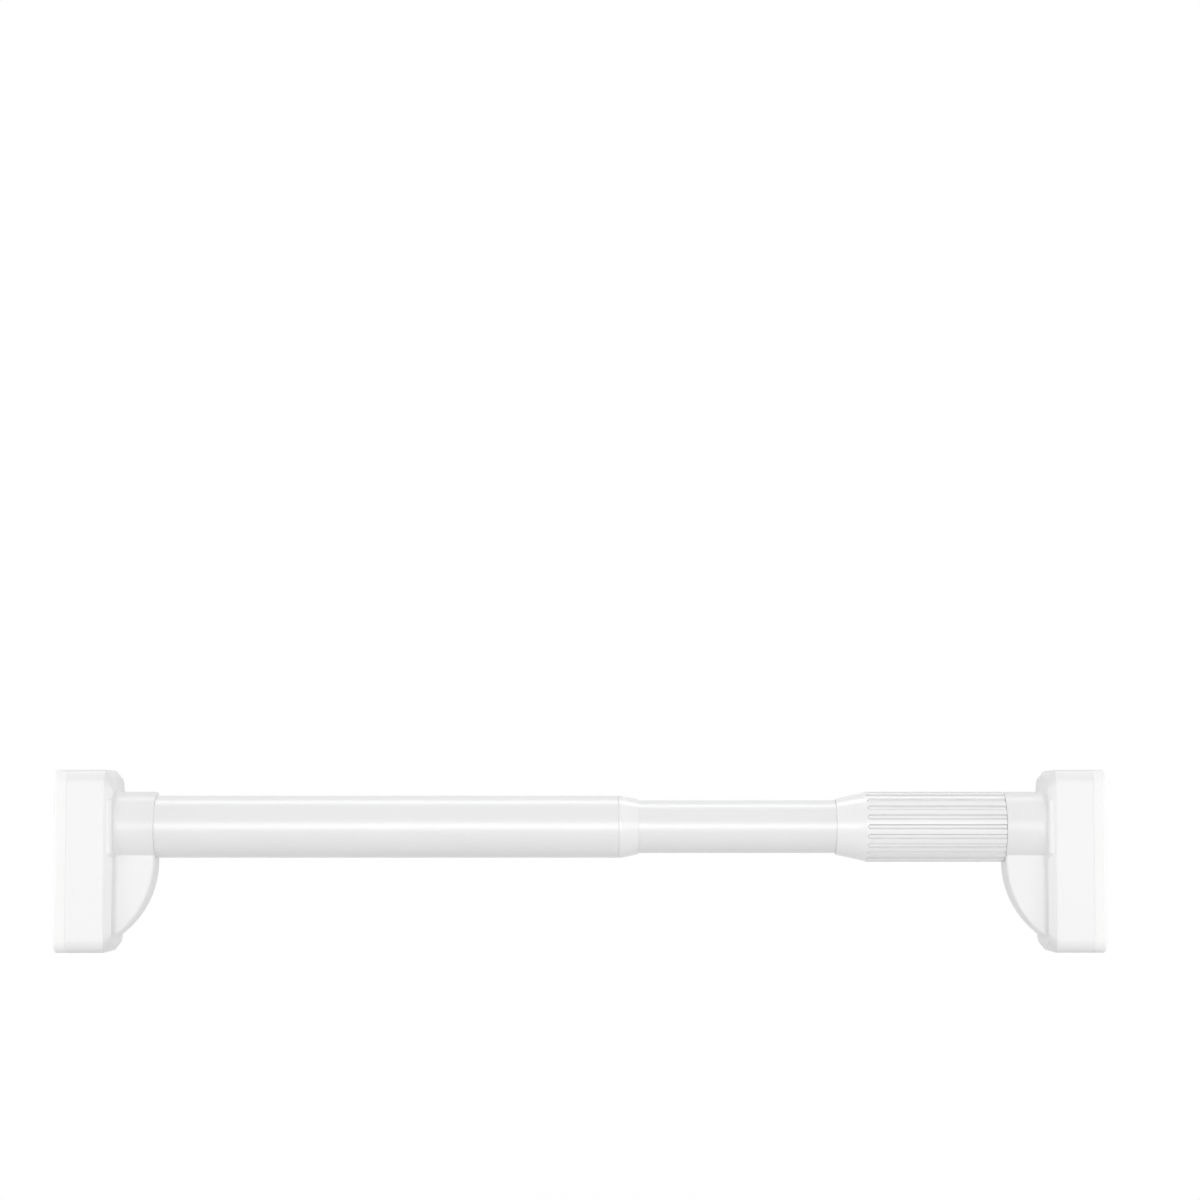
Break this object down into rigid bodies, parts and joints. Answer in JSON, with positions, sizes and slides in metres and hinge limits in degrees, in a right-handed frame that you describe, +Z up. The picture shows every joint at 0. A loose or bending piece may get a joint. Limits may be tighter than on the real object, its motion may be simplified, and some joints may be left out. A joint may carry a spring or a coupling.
{
  "type": "spring tension rod",
  "caption": "Telescopic rod that presses between two walls: white steel tubes, twist lock, ribbed screw-jack grip, pressure spring and gusseted padded feet.",
  "frame": {"origin": "centre of the left foot's wall face on the rod's axis", "axes": "+X along the rod from the left foot to the right foot, +Z up, the feet's gussets hang towards -Z"},
  "size_m": [0.5355, 0.05, 0.093],
  "materials": {
    "pad": "soft matt white elastomer",
    "foot_plastic": "smooth semi-gloss white",
    "grip_plastic": "smooth semi-gloss white",
    "tube_paint": "glossy white coating on steel",
    "zinc_steel": "zinc plated",
    "spring_steel": "oiled spring wire",
    "inner_plastic": "natural moulded",
    "lock_plastic": "dark moulded",
    "nut_brass": "turned",
    "buffer_rubber": "matt black"
  },
  "bodies": {
    "outer_body": {"left_pad": "pad", "left_base_shell": "foot_plastic", "left_bracket": "foot_plastic", "left_base_screws": "zinc_steel", "outer_tube": "tube_paint", "tube_end_plug": "inner_plastic", "plug_screw": "zinc_steel", "plug_washer": "zinc_steel", "tube_collar": "grip_plastic"},
    "lock_sleeve": {"lock_collet": "lock_plastic"},
    "inner_body": {"inner_tube": "tube_paint", "lock_plug": "inner_plastic", "lock_screw": "zinc_steel", "lock_clip": "zinc_steel", "spring_stop": "inner_plastic", "pressure_spring": "spring_steel", "buffer_washer": "buffer_rubber", "spindle_guide": "inner_plastic"},
    "lock_wedge": {"lock_cone": "inner_plastic"},
    "spindle": {"jack_spindle": "zinc_steel"},
    "thrust_ring": {"thrust_washer": "inner_plastic"},
    "grip": {"twist_grip": "grip_plastic", "spindle_nut": "nut_brass", "retaining_ring": "spring_steel"},
    "right_foot": {"right_bracket": "foot_plastic", "right_base_shell": "foot_plastic", "right_base_screws": "zinc_steel", "right_pad": "pad"}
  },
  "joints": [
    {"name": "length_slide", "type": "slide", "parent": "outer_body", "child": "lock_sleeve", "axis": [1, 0, 0], "range_m": [-0.09, 0.07]},
    {"name": "lock_turn", "type": "hinge", "parent": "lock_sleeve", "child": "inner_body", "pos_m": [0.16, 0, 0], "axis": [1, 0, 0], "range_deg": [0, 720]},
    {"name": "lock_cone_slide", "type": "slide", "parent": "lock_sleeve", "child": "lock_wedge", "axis": [-1, 0, 0], "range_m": [0, 0.0025]},
    {"name": "spring_slide", "type": "slide", "parent": "inner_body", "child": "spindle", "axis": [1, 0, 0], "range_m": [-0.01, 0], "stiffness_N_per_m": 15000, "springref_m": 0.002, "deforming": ["pressure_spring"]},
    {"name": "jack_advance", "type": "slide", "parent": "spindle", "child": "thrust_ring", "axis": [1, 0, 0], "range_m": [0, 0.02]},
    {"name": "grip_turn", "type": "hinge", "parent": "thrust_ring", "child": "grip", "pos_m": [0.45, 0, 0], "axis": [1, 0, 0], "range_deg": [0, 1800]},
    {"name": "foot_swivel", "type": "hinge", "parent": "thrust_ring", "child": "right_foot", "pos_m": [0.5, 0, 0], "axis": [1, 0, 0], "continuous": true}
  ],
  "couplings": [
    {"joint": "lock_cone_slide", "follows": "lock_turn", "m_per_rad": 0.00019894},
    {"joint": "grip_turn", "follows": "jack_advance", "rad_per_m": 1570.8}
  ]
}
